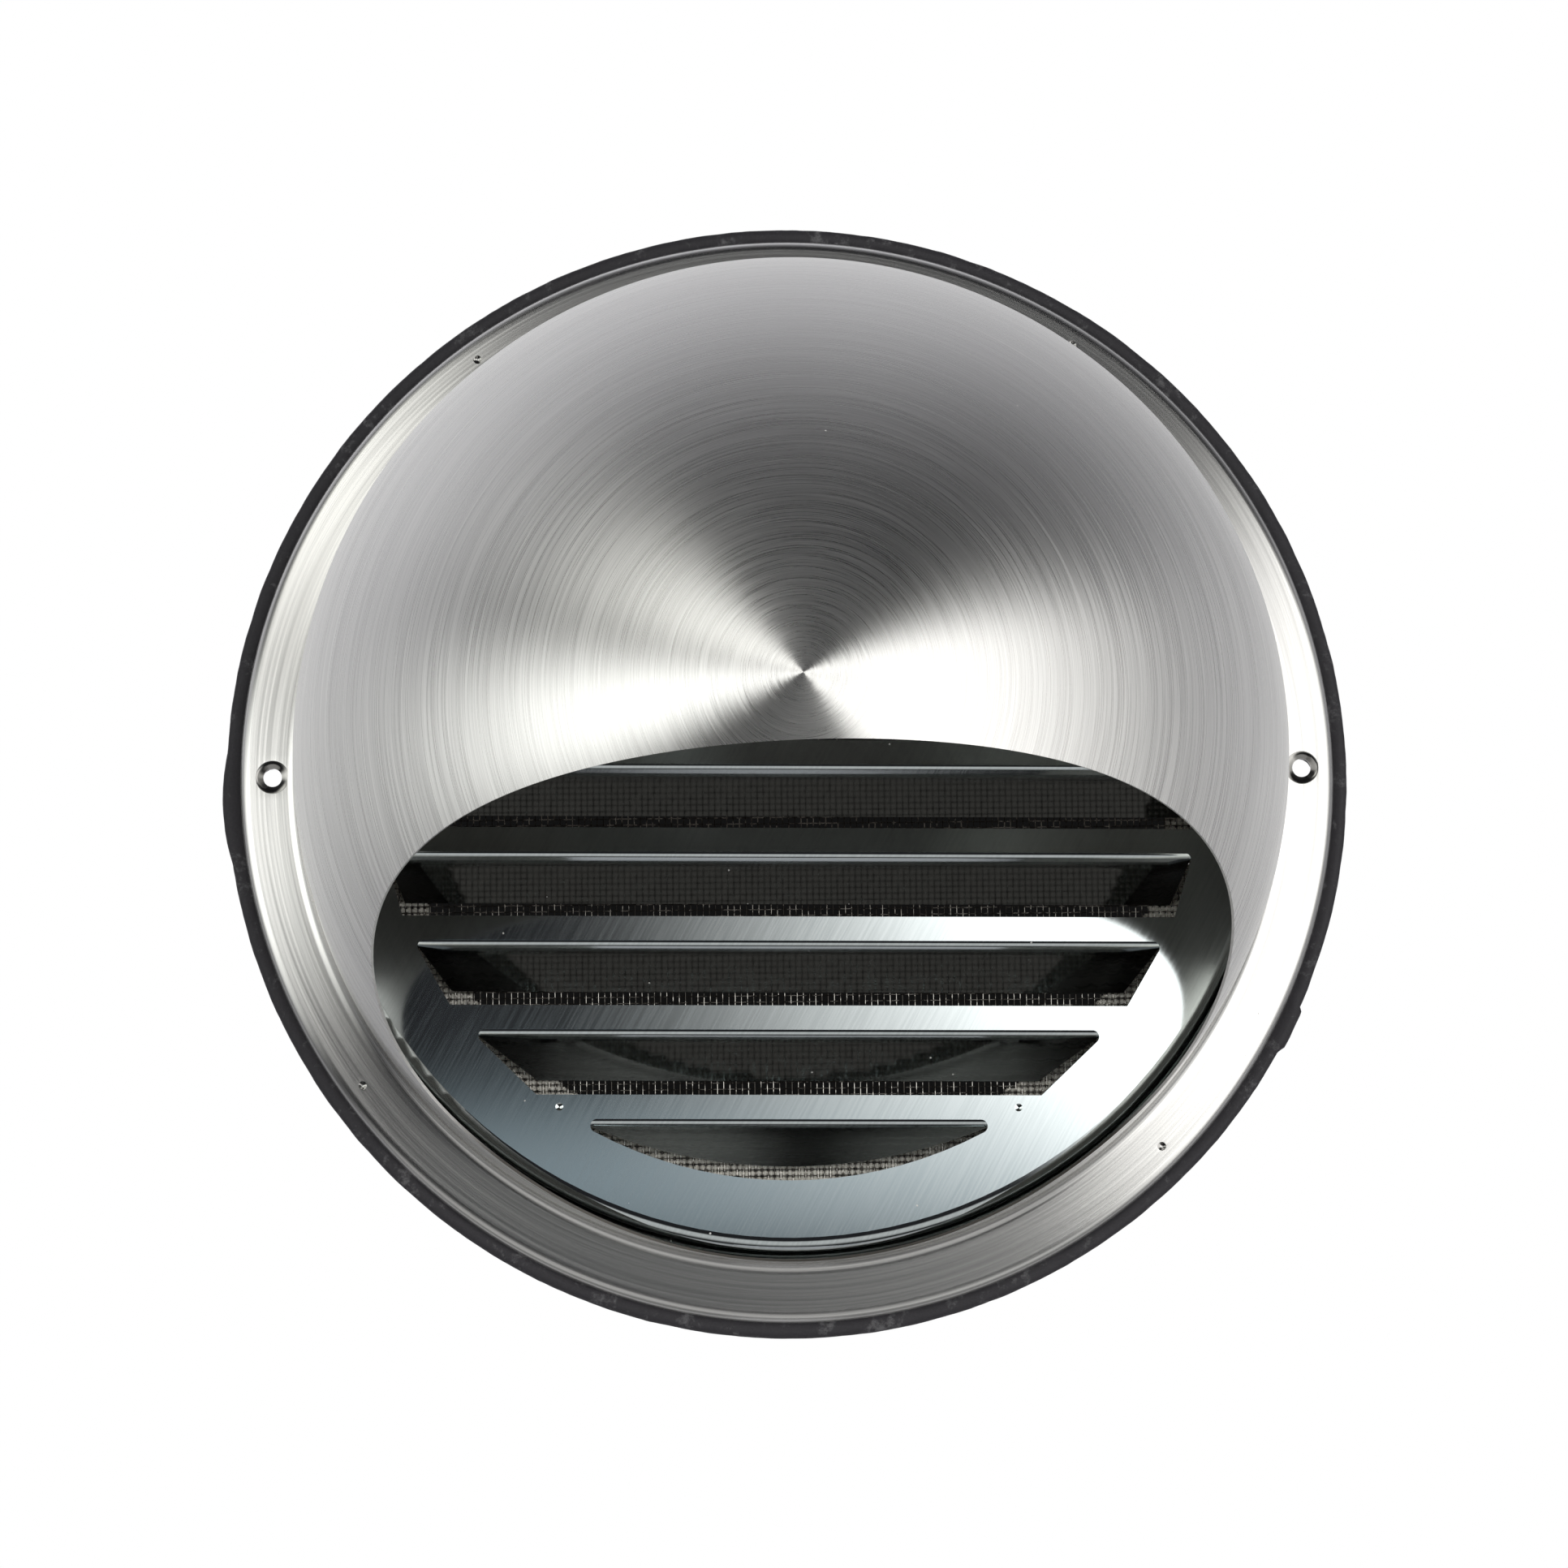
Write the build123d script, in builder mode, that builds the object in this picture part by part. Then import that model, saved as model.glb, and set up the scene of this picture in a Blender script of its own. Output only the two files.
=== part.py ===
"""Wall vent hood in stainless sheet: a spun hood over a louvred plate, with an insect mesh, a duct
spigot and a foam gasket.

Millimetres, +Z up. The origin is on the duct's axis in the plane of the wall. The hood faces -Y, and
the spigot goes into the wall along +Y.
"""

import math
import os

from build123d import *

# The duct that it serves sets the size of everything else
spigot_radius = 99.0

# Sheet and layers, from the wall outwards
sheet = 0.6  # hood, louvre plate and spigot
gasket_thickness = 4.0  # foam under the hood's edge
rim_straight = 0.5  # plain part of the hood's turned edge, under its bend

# Hood
dome_margin = 10.75  # the dome is this much larger than the spigot, in radius
dome_base = 25.0  # from the flange's face to the centre of the dome
foot_flare = 1.25  # the dome flares out by this much where it meets the flange
foot_bend = 2.5  # outer radius of the bend from dome to flange
flange_width = 13.0
edge_bend = 2.5  # outer radius of the turned edge
mouth_drop = 13.4  # the mouth's top edge lies this far under the axis
mouth_foot = 4.0  # the mouth's lower edge stands this far in front of the flange
mouth_bow = 215.0  # radius of the bowed cut, seen from the side
mouth_turn = 1.5  # the cut is turned about the axis by this many degrees
mouth_over_cut = 20.0  # the cutting shape reaches this far outside the hood

# Screw holes, on the flange's level diameter
screw_inset = 5.6  # from the dome's foot to a hole's centre
screw_hole = 4.2
dimple_width = 6.4  # the sheet is pressed in round each hole
dimple_depth = 0.6
dimple_play = 0.4  # clear round a dimple in the plate behind it
gasket_hole = 6.0

# Spot welds through the flange: small round dents
weld_inset = 8.0  # from the dome's foot
weld_angles = (56.0, 126.0, 216.0, 314.0)
weld_dent_radius = 2.0
weld_dent_depth = 0.2

# Louvre plate: a shallow pan under the hood, with lanced blades
pan_rise = 8.0  # its face stands this far in front of the hood's flange
pan_play = 0.65  # round the pan, inside the hood
pan_edge_bend = 3.0
pan_foot_bend = 1.5
pan_flange_play = 0.5  # from its flange to the bend of the hood's edge
louvre_pitch = 20.0
slot_height = 14.6
slot_corner = 1.5
louvre_field_inset = 4.1  # the ends of all slots lie on a circle this far inside the spigot's bore
louvre_field_cap = 8.0  # no blade bends nearer than this to the field's top or bottom
middle_bend_height = 0.8  # where the middle blade bends off the face
louvre_turn = -0.75  # degrees about the axis
blade_angle = 46.0  # how far the blades are bent in from the face
blade_bend = 1.2  # inner radius of that bend

# Insect mesh: a coarse stand-in for the weave, with wires as ridges and a turned edge
mesh_wall = 0.4
mesh_ridge = 0.4
mesh_ridge_width = 1.2
mesh_pitch = 16.0
mesh_gap = 13.0
mesh_edge = 0.6
mesh_edge_depth = 6.0
mesh_play = 0.2  # round the turned edge, in the spigot's bore
blade_play = 0.3  # between blade tips and mesh

# Spigot: a rolled tube, welded by four tabs to the back of the louvre plate
spigot_reach = 60.0  # from the wall's plane into the wall
neck_in = 1.5  # the tube is drawn in by this much in front of the wall
neck_slope = 1.5
tab_width = 4.0
tab_reach = 5.9
tab_weld_inset = 1.0  # from a tab's end to its spot weld
seam_width = 8.0
seam_play = 1.0  # from the mesh's edge to the lap seam

# Foam gasket: a ring cut from soft sheet, with uneven edges
gasket_overhang = 3.5  # beyond the hood's edge
gasket_play = 0.8  # round the spigot
bulge_radius = 50.0
bulge_height = 1.0
bulge_angle = 183.0
step_height = 0.8
step_width = 11.0
step_angle = -27.7
step_corner = 0.8

# Levels along Y
rim_y = -gasket_thickness
flange_y = rim_y - rim_straight - edge_bend
pan_flange_y = flange_y + sheet
pan_back_y = pan_flange_y + sheet
dome_centre_y = flange_y - dome_base
pan_face_y = flange_y - pan_rise
pan_inside_y = pan_face_y + sheet

# Radii and places that follow from others
dome_radius = spigot_radius + dome_margin
dome_foot_radius = dome_radius + foot_flare
flange_radius = dome_foot_radius + flange_width
pan_radius = dome_radius - sheet - pan_play
pan_flange_radius = flange_radius - edge_bend - pan_flange_play
gasket_radius = flange_radius + gasket_overhang
weld_ring_radius = dome_foot_radius + weld_inset
screw_x = dome_foot_radius + screw_inset
screw_places = ((-screw_x, 0), (screw_x, 0))
neck_radius = spigot_radius - neck_in
neck_bore = neck_radius - sheet
spigot_bore = spigot_radius - sheet
louvre_field_radius = neck_bore - louvre_field_inset


def turned(degrees):
    """The level direction across the hood, turned about the axis."""
    return (math.cos(math.radians(degrees)), 0, math.sin(math.radians(degrees)))


def side_plane(degrees):
    """A plane through the axis, seen from the side: its x runs along +Y, its y is up."""
    return Plane(origin=(0, 0, 0), x_dir=(0, 1, 0), z_dir=turned(degrees))


def front_plane(y, degrees=0):
    """A plane across the axis at y, seen from the front."""
    return Plane(origin=(0, y, 0), x_dir=turned(degrees), z_dir=(0, -1, 0))


def half_chord(height):
    """Half the width of the louvre field at this height."""
    return math.sqrt(louvre_field_radius**2 - height**2)


def polar(radius, degrees):
    return (radius * math.cos(math.radians(degrees)), radius * math.sin(math.radians(degrees)))


def weld_dents(face_y, radius, angles):
    """Centres of the spheres that dent a face at its spot welds."""
    dent_y = face_y - weld_dent_radius + weld_dent_depth
    return [(x, dent_y, z) for x, z in (polar(radius, angle) for angle in angles)]


# Louvre layout, as heights of the bend lines from the top down
louvre_rows = int((louvre_field_radius - louvre_field_cap - middle_bend_height) // louvre_pitch)
bend_heights = [middle_bend_height + louvre_pitch * row for row in range(louvre_rows, -louvre_rows - 1, -1)]
blade_turn = math.radians(blade_angle)
blade_straight = slot_height - (blade_bend + sheet / 2) * blade_turn
blade_root_y = pan_inside_y + blade_bend
blade_drop = (blade_bend + sheet) * math.sin(blade_turn) + blade_straight * math.cos(blade_turn)
blade_back_y = blade_root_y - blade_bend * math.cos(blade_turn) + blade_straight * math.sin(blade_turn)

# The spigot's tabs lie behind the strips next to the top and bottom slots
tab_weld_radius = neck_bore - tab_reach + tab_weld_inset
strip_drop = (louvre_pitch + slot_height) / 2
tab_root = sheet / 2  # each tab starts in the middle of the tube's wall
tab_length = tab_reach + tab_root
tab_heights = (bend_heights[0] - strip_drop, bend_heights[-2] - strip_drop)
tab_lifts = [math.degrees(math.asin(height / tab_weld_radius)) for height in tab_heights]
tab_angles = [side + louvre_turn for lift in tab_lifts for side in (lift, 180 - lift)]


def louvre_outline(bend_height, drop):
    """Front view of a slot, or of its bent blade: its ends slant to the field's circle."""
    low = bend_height - drop
    slot_low = bend_height - slot_height
    wide = half_chord(bend_height)
    if slot_low <= -louvre_field_radius:
        foot = drop / slot_height * (louvre_field_radius + bend_height)
        ThreePointArc((-wide, bend_height), (0, bend_height - foot), (wide, bend_height))
        Line((wide, bend_height), (-wide, bend_height))
        return
    narrow = half_chord(slot_low)
    Polyline((-wide, bend_height), (-narrow, low), (narrow, low), (wide, bend_height), close=True)


# The hood's section is drawn from the pole to the edge, thickened inwards and spun about the axis
with BuildPart() as hood:
    with BuildSketch(Plane.XY):
        with BuildLine() as skin:
            CenterArc((0, dome_centre_y), dome_radius, -90, 90)
            TangentArc((dome_radius, dome_centre_y), (dome_foot_radius, flange_y), tangent=(0, 1))
            Polyline((dome_foot_radius, flange_y), (flange_radius, flange_y), (flange_radius, rim_y))
            fillet(skin.vertices().sort_by_distance((dome_foot_radius, flange_y))[0], foot_bend)
            fillet(skin.vertices().sort_by_distance((flange_radius, flange_y))[0], edge_bend)
            offset(amount=sheet, side=Side.LEFT, closed=True)
        make_face()
    revolve(axis=Axis.Y)
    # The mouth is cut from the side along a bowed line
    mouth_front = (dome_centre_y - math.sqrt(dome_radius**2 - mouth_drop**2), -mouth_drop)
    mouth_end = (flange_y - mouth_foot, -dome_foot_radius)
    cut_front_y = dome_centre_y - dome_radius - mouth_over_cut
    cut_floor = -flange_radius - mouth_over_cut
    with BuildSketch(side_plane(mouth_turn)):
        with BuildLine():
            RadiusArc(mouth_front, mouth_end, mouth_bow)
            Polyline(
                mouth_end,
                (mouth_end[0], cut_floor),
                (cut_front_y, cut_floor),
                (cut_front_y, -mouth_drop),
                mouth_front,
            )
        make_face()
    extrude(amount=flange_radius, both=True, mode=Mode.SUBTRACT)
    # Screw holes in pressed dimples
    with BuildSketch(front_plane(flange_y)):
        with Locations(*screw_places):
            Circle(dimple_width / 2)
    extrude(amount=-sheet, mode=Mode.SUBTRACT)
    for x, z in screw_places:
        with BuildSketch(Plane((x, flange_y, z))):
            with BuildLine():
                Polyline(
                    (dimple_width / 2, 0),
                    (screw_hole / 2, dimple_depth),
                    (screw_hole / 2, dimple_depth + sheet),
                    (dimple_width / 2, sheet),
                    close=True,
                )
            make_face()
        revolve(axis=Axis((x, flange_y, z), (0, 1, 0)))
    with Locations(*weld_dents(flange_y, weld_ring_radius, weld_angles)):
        Sphere(weld_dent_radius, mode=Mode.SUBTRACT)

# All blades: their sections from the side, cut to their outlines from the front
with BuildPart() as blades:
    with BuildSketch(side_plane(louvre_turn)):
        for height in bend_heights:
            with BuildLine():
                bend = CenterArc((blade_root_y, height), blade_bend + sheet, 180, blade_angle)
                Line(bend @ 1, bend @ 1 + blade_straight * (bend % 1))
                offset(amount=sheet, side=Side.LEFT, closed=True)
            make_face()
    extrude(amount=louvre_field_radius, both=True)
    with BuildSketch(front_plane(pan_face_y, louvre_turn)):
        for height in bend_heights:
            with BuildLine():
                louvre_outline(height, blade_drop)
            make_face()
    extrude(amount=-slot_height, mode=Mode.INTERSECT)

# The louvre plate is spun as a pan, lanced, and carries the blades
with BuildPart() as louvre_plate:
    with BuildSketch(Plane.XY):
        with BuildLine() as skin:
            Polyline(
                (0, pan_face_y),
                (pan_radius, pan_face_y),
                (pan_radius, pan_flange_y),
                (pan_flange_radius, pan_flange_y),
            )
            fillet(skin.vertices().sort_by_distance((pan_radius, pan_face_y))[0], pan_edge_bend)
            fillet(skin.vertices().sort_by_distance((pan_radius, pan_flange_y))[0], pan_foot_bend)
            offset(amount=sheet, side=Side.LEFT, closed=True)
        make_face()
    revolve(axis=Axis.Y)
    with BuildSketch(front_plane(pan_face_y, louvre_turn)) as slots:
        for height in bend_heights:
            with BuildLine():
                louvre_outline(height, slot_height)
            make_face()
            bend_line = (height - slot_corner, height + slot_corner)
            fillet(slots.vertices().filter_by_position(Axis.Y, *bend_line), slot_corner)
    extrude(amount=-sheet, mode=Mode.SUBTRACT)
    add(blades.part)
    with Locations(*weld_dents(pan_face_y, tab_weld_radius, tab_angles)):
        Sphere(weld_dent_radius, mode=Mode.SUBTRACT)
    with BuildSketch(front_plane(pan_flange_y)):
        with Locations(*screw_places):
            Circle(dimple_width / 2 + dimple_play)
    extrude(amount=-sheet, mode=Mode.SUBTRACT)

# Insect mesh: level wires in front, upright ones behind, gaps between, and an edge turned back
mesh_radius = neck_bore - mesh_play
mesh_field = mesh_radius - mesh_edge
mesh_y = blade_back_y + blade_play
mesh_wall_y = mesh_y + mesh_ridge
wire_count = 2 * int((mesh_field - mesh_ridge_width) // mesh_pitch) + 1
gap_rows = [mesh_pitch * (2 * step + 1) / 2 for step in range(-wire_count, wire_count)]
gap_places = [
    (across, up)
    for across in gap_rows
    for up in gap_rows
    if math.hypot(abs(across) + mesh_pitch / 2, abs(up) + mesh_pitch / 2) < mesh_field
]
with BuildPart() as insect_mesh:
    with BuildSketch(front_plane(mesh_y)):
        with GridLocations(0, mesh_pitch, 1, wire_count):
            Rectangle(2 * mesh_field, mesh_ridge_width)
        Circle(mesh_field, mode=Mode.INTERSECT)
    extrude(amount=-mesh_ridge)
    with BuildSketch(front_plane(mesh_wall_y)):
        Circle(mesh_radius)
        with Locations(*gap_places):
            Rectangle(mesh_gap, mesh_gap, mode=Mode.SUBTRACT)
    extrude(amount=-mesh_wall)
    with BuildSketch(front_plane(mesh_wall_y + mesh_wall)):
        with GridLocations(mesh_pitch, 0, wire_count, 1):
            Rectangle(mesh_ridge_width, 2 * mesh_field)
        Circle(mesh_field, mode=Mode.INTERSECT)
    extrude(amount=-mesh_ridge)
    with BuildSketch(front_plane(mesh_wall_y)):
        Circle(mesh_radius)
        Circle(mesh_field, mode=Mode.SUBTRACT)
    extrude(amount=-mesh_edge_depth)

# Spigot: tube, tabs folded in at its front end, and the lap of its seam inside
with BuildPart() as spigot:
    with BuildSketch(Plane.XY):
        with BuildLine():
            Polyline(
                (neck_radius, pan_inside_y),
                (neck_radius, -neck_slope),
                (spigot_radius, 0),
                (spigot_radius, spigot_reach),
            )
            offset(amount=sheet, side=Side.LEFT, closed=True)
        make_face()
    revolve(axis=Axis.Y)
    with BuildSketch(front_plane(pan_inside_y)):
        for angle in tab_angles:
            with Locations(polar(neck_bore + tab_root - tab_length / 2, angle)):
                Rectangle(tab_length, tab_width, rotation=angle)
    extrude(amount=-sheet)
    seam_y = mesh_wall_y + mesh_edge_depth + seam_play
    with BuildSketch(front_plane(seam_y)):
        Circle(spigot_bore)
        Circle(spigot_bore - sheet, mode=Mode.SUBTRACT)
        with Locations((0, spigot_bore)):
            Rectangle(seam_width, spigot_bore, mode=Mode.INTERSECT)
    extrude(amount=seam_y - spigot_reach)

# Foam gasket: flat against the wall, squeezed thinner under the hood's edge
with BuildPart() as foam_gasket:
    with BuildSketch(front_plane(0)) as foam:
        with Locations(polar(gasket_radius, step_angle)):
            Rectangle(2 * step_height, step_width, rotation=step_angle)
        fillet(foam.vertices(), step_corner)
        Circle(gasket_radius)
        with Locations(polar(gasket_radius + bulge_height - bulge_radius, bulge_angle)):
            Circle(bulge_radius)
    extrude(amount=gasket_thickness)
    with BuildSketch(front_plane(rim_y)):
        Circle(pan_flange_radius)
    extrude(amount=rim_y - pan_back_y)
    with BuildSketch(front_plane(0)):
        Circle(spigot_radius + gasket_play)
        with Locations(*screw_places):
            Circle(gasket_hole / 2)
    extrude(amount=-pan_back_y, mode=Mode.SUBTRACT)

os.makedirs("parts", exist_ok=True)
hood.part.label = "hood"
louvre_plate.part.label = "louvre_plate"
insect_mesh.part.label = "insect_mesh"
spigot.part.label = "spigot"
foam_gasket.part.label = "foam_gasket"
export_step(hood.part, "parts/hood.step")
export_step(louvre_plate.part, "parts/louvre_plate.step")
export_step(insect_mesh.part, "parts/insect_mesh.step")
export_step(spigot.part, "parts/spigot.step")
export_step(foam_gasket.part, "parts/foam_gasket.step")
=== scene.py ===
"""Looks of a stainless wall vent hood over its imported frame.

Metres, +Z up. The duct's axis is Y, the wall is the plane y = 0, and the hood faces -Y.
"""

import math

import bpy
from mathutils import Matrix, Vector, noise


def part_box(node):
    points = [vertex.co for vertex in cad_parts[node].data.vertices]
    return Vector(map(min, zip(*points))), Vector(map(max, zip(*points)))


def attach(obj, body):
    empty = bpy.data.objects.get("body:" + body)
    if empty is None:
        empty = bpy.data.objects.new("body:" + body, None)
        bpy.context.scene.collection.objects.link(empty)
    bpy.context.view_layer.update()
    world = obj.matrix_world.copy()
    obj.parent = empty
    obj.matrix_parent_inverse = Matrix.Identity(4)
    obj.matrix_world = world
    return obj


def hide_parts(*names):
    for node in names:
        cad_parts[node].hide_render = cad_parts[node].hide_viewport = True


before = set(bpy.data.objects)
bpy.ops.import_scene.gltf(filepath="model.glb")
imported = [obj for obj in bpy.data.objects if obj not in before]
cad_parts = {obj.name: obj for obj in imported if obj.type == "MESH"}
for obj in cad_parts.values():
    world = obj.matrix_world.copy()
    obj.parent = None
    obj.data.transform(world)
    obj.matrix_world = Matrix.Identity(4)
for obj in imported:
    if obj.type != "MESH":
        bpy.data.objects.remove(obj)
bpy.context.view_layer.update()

# Sheet and levels, from the frame where it shows them
hood_low, hood_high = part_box("hood")
mesh_low, mesh_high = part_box("insect_mesh")
gasket_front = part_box("foam_gasket")[0].y
spigot_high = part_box("spigot")[1]
sheet = 0.0006
flange_radius = hood_high.x
rim_y = hood_high.y
edge_bend = 0.0025
rim_straight = 0.0005
flange_y = rim_y - rim_straight - edge_bend

# Hood section
flange_width = 0.013
foot_flare = 0.00125
foot_bend = 0.0025
foot_radius = flange_radius - flange_width
dome_radius = foot_radius - foot_flare
dome_centre_y = hood_low.y + dome_radius
dome_base = flange_y - dome_centre_y

# Mouth: a bowed cut seen from the side
mouth_drop = 0.0134
mouth_foot = 0.004
mouth_bow = 0.215
mouth_turn = math.radians(1.5)
mouth_count = 150
top_count = 190

# Screw holes and spot welds in the flange: where they lie, and the meridians (degrees apart) beside each
screw_ring = foot_radius + 0.0056
screw_angles = (0.0, 180.0)
weld_ring = foot_radius + 0.008
weld_angles = (56.0, 126.0, 216.0, 314.0)
screw_stride = 0.5
weld_stride = 0.4
screw_columns = 5
weld_columns = 2
weld_first_row = 4

# Pressed marks, as rings of (radius, depth) from the flange inwards
dimple_rings = ((0.0038, 0.0), (0.0033, 0.00005), (0.0029, 0.00019), (0.0025, 0.00041), (0.0021, 0.0006))
dent_rings = ((0.001, 0.0), (0.00087, 0.00001), (0.0006, 0.00011), (0.0003, 0.00018))
dent_depth = 0.0002

# Rows of points down each meridian of the hood, stretch by stretch
cap_rows = 56
foot_rows = 36
bend_rows = 6
flat_rows = 8
edge_rows = 7
flat_start = cap_rows + foot_rows + bend_rows

# The hood's finishes, in the order of its materials
outside_finish, bare_finish, inside_finish = 0, 1, 2

# Insect mesh
wire_pitch = 0.0014
wire_radius = 0.00012
wire_wave = 0.00015
hem_sheet = 0.0006
hem_set_back = 0.0004
weave_y = mesh_low.y + 0.0006
fold_radius = 0.0865
fold_depth = 0.001
fold_wire_radius = 0.0004
# Beyond this radius the folded wires are painted pale, as if lit.
painted_lit_fold_radius = 0.0885

# Scratches: metres of radius that count like a radian off the pole
flange_share = 0.125

# Camera, worked out from the ellipses and screw holes of the photograph
photo_side = 1932
focal_pixels = 6000
photo_target = (971.4, 951.7)
camera_distance = 1.1028
camera_tilt = math.radians(8.51)
camera_azimuth = math.radians(1.39)
camera_roll = math.radians(-0.76)
sensor_width = 36.0

# Studio: what the room sends from each side, where 1 is white
backdrop_low = (0.5, 0.5, 0.52, 1)
backdrop_high = (1.1, 1.1, 1.15, 1)
backdrop_right = (0.52, 0.52, 0.55, 1)
front_dark = (0.02, 0.02, 0.022, 1)
floor_under = (0.03, 0.03, 0.03, 1)
floor_behind = (0.42, 0.42, 0.42, 1)
floor_ahead = (0.6, 0.6, 0.59, 1)
band_tint = (0.36, 0.43, 0.47, 1)
right_light = (2.4, 2.39, 2.34, 1)
front_light = (2.3, 2.29, 2.24, 1)
left_light = (2.45, 2.48, 2.4, 1)
upper_left_light = (1.9, 1.91, 1.81, 1)
wedge_soft = math.radians(13)
# Shade card behind the spigot: a dim painted glow for other rays, black as painted shade to the camera.
card_painted_fill_glow = (0.088, 0.075, 0.067, 1)
card_painted_shade = (0.006, 0.006, 0.006, 1)
floor_height = -2.4
floor_radius = 0.3


def add_object(name, mesh):
    """A new object in the scene."""
    made = bpy.data.objects.new(name, mesh)
    bpy.context.scene.collection.objects.link(made)
    return made


def mesh_piece(name, points, faces, smooth=True):
    """A new object from points and faces, shaded smooth or flat."""
    mesh = bpy.data.meshes.new(name)
    mesh.from_pydata(points, [], faces)
    mesh.polygons.foreach_set("use_smooth", [smooth] * len(mesh.polygons))
    mesh.update()
    return add_object(name, mesh)


# Hood: section, mouth and mesh


def hood_section():
    """The hood's outer skin from pole to rim: stretches of (length, function of distance)."""
    flare_radius = (foot_flare**2 + dome_base**2) / (2 * foot_flare)
    flare_r = dome_radius + flare_radius
    bend_y = flange_y - foot_bend
    flare_turn = math.asin((bend_y - dome_centre_y) / (flare_radius - foot_bend))
    bend_r = flare_r - (flare_radius - foot_bend) * math.cos(flare_turn)
    edge_r, edge_y = flange_radius - edge_bend, flange_y + edge_bend

    def dome(d):
        turn = d / dome_radius
        out = Vector((math.sin(turn), -math.cos(turn)))
        return Vector((0, dome_centre_y)) + dome_radius * out, out

    def flare(d):
        turn = d / flare_radius
        out = Vector((math.cos(turn), -math.sin(turn)))
        return Vector((flare_r, dome_centre_y)) - flare_radius * out, out

    def foot(d):
        turn = flare_turn + d / foot_bend
        out = Vector((math.cos(turn), -math.sin(turn)))
        return Vector((bend_r, bend_y)) - foot_bend * out, out

    def flat(d):
        return Vector((bend_r + d, flange_y)), Vector((0, -1))

    def edge(d):
        turn = d / edge_bend
        out = Vector((math.sin(turn), -math.cos(turn)))
        return Vector((edge_r, edge_y)) + edge_bend * out, out

    def rim(d):
        return Vector((flange_radius, edge_y + d)), Vector((1, 0))

    quarter = math.pi / 2
    return [
        (dome_radius * quarter, dome),
        (flare_radius * flare_turn, flare),
        (foot_bend * (quarter - flare_turn), foot),
        (edge_r - bend_r, flat),
        (edge_bend * quarter, edge),
        (rim_straight, rim),
    ]


section = hood_section()
section_ends = [sum(length for length, _ in section[: i + 1]) for i in range(len(section))]


def skin_at(distance):
    """Point (radius, y) and outward direction on the hood's section."""
    start = 0.0
    for (length, place), end in zip(section, section_ends):
        if distance <= end or end == section_ends[-1]:
            return place(distance - start)
        start = end


def spun(point, angle):
    """A point of the section, turned about the axis."""
    return Vector((point.x * math.cos(angle), point.y, point.x * math.sin(angle)))


def mouth_circle():
    """Centre of the mouth's bow, as (distance in front of the flange, height)."""
    front = Vector((dome_base + math.sqrt(dome_radius**2 - mouth_drop**2), -mouth_drop))
    foot = Vector((mouth_foot, -foot_radius))
    chord = foot - front
    inwards = Vector((-chord.y, chord.x)).normalized()
    return (front + foot) / 2 + inwards * math.sqrt(mouth_bow**2 - chord.length_squared / 4)


bow_centre = mouth_circle()


def beyond_mouth(point):
    """Above zero on the part of the hood that stays, below zero in the mouth."""
    ahead = flange_y - point.y
    height = point.z * math.cos(mouth_turn) - point.x * math.sin(mouth_turn)
    clear = (Vector((ahead, height)) - bow_centre).length - mouth_bow
    return max(clear, mouth_foot - ahead)


def stays_at(distance, angle):
    """The same test at a distance from the pole, on one meridian."""
    return beyond_mouth(spun(skin_at(distance)[0], angle))


def refine(test, low, high):
    """Where test changes sign between low and high."""
    sign = test(low) > 0
    for _ in range(40):
        middle = (low + high) / 2
        if (test(middle) > 0) == sign:
            low = middle
        else:
            high = middle
    return (low + high) / 2


def mouth_span(angle, samples=400):
    """Distances from the pole at which this meridian enters and leaves the mouth, or None."""
    reach = section_ends[2]
    stops = [reach * i / samples for i in range(samples + 1)]
    kept = [stays_at(stop, angle) > 0 for stop in stops]
    if all(kept):
        return None
    first = kept.index(False)
    last = samples - kept[::-1].index(False)
    enter = refine(lambda d: stays_at(d, angle), stops[first - 1], stops[first])
    leave = refine(lambda d: stays_at(d, angle), stops[last], stops[last + 1])
    return enter, leave


def mouth_limits():
    """The two meridians that just touch the mouth, right and left, as angles."""
    down = -math.pi / 2

    def crosses(angle):
        return 1.0 if mouth_span(angle) else -1.0

    return refine(crosses, down, 0.0), refine(crosses, down, -math.pi)


def hood_angles(right, left):
    """Meridians: crowded where the mouth turns, and beside holes and welds."""
    middle, half = (right + left) / 2, (right - left) / 2
    angles = [middle - half * math.cos(math.pi * i / mouth_count) for i in range(mouth_count + 1)]
    top = 2 * math.pi - 2 * half
    angles += [right + top * i / top_count for i in range(1, top_count)]
    for places, steps, stride in (
        (screw_angles, screw_columns, screw_stride),
        (weld_angles, weld_columns, weld_stride),
    ):
        for place in places:
            place = math.radians(place if math.radians(place) < right + top else place - 360)
            reach = math.radians(stride * steps)
            angles = [a for a in angles if abs(a - place) > reach * 1.15 or a in (left, right)]
            angles += [place + math.radians(stride * k) for k in range(-steps, steps + 1)]
    return sorted(angles)


def fill(start, end, count):
    """Even steps from start to end, both included."""
    return [start + (end - start) * i / count for i in range(count + 1)]


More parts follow.
